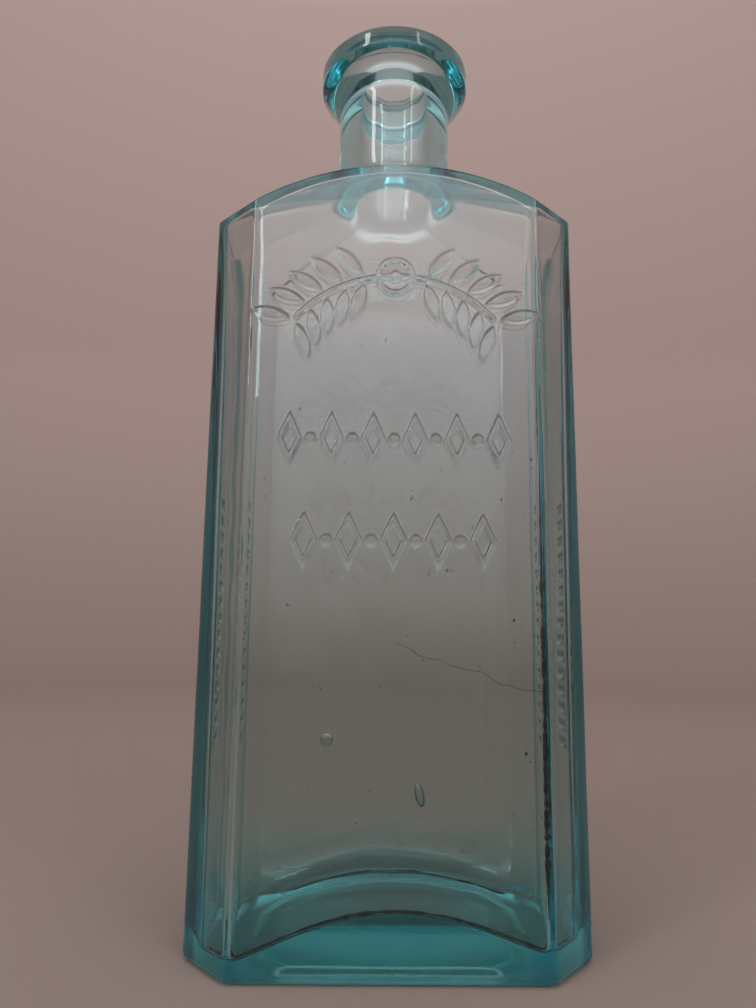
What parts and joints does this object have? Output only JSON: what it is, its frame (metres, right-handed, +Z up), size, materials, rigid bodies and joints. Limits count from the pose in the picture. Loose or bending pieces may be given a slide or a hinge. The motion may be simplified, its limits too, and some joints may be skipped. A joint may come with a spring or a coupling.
{
  "type": "medicine bottle",
  "caption": "Upright rectangular medicine bottle in thin aqua glass, with cut corners, an arched shoulder, a round neck and an applied ring lip.",
  "frame": {"origin": "centre of the base, where the bottle stands", "axes": "+Z up the neck's axis, +X across the width, -Y out of the ornamented front panel"},
  "size_m": [0.0762, 0.0406, 0.187],
  "materials": {
    "aqua_glass": "clear aqua mould-blown glass, slightly wavy, with small bubbles",
    "aqua_lip_glass": "clear aqua glass, fire-polished and hand-tooled"
  },
  "bodies": {
    "root": {"glass_body": "aqua_glass", "applied_lip": "aqua_lip_glass"}
  },
  "joints": []
}
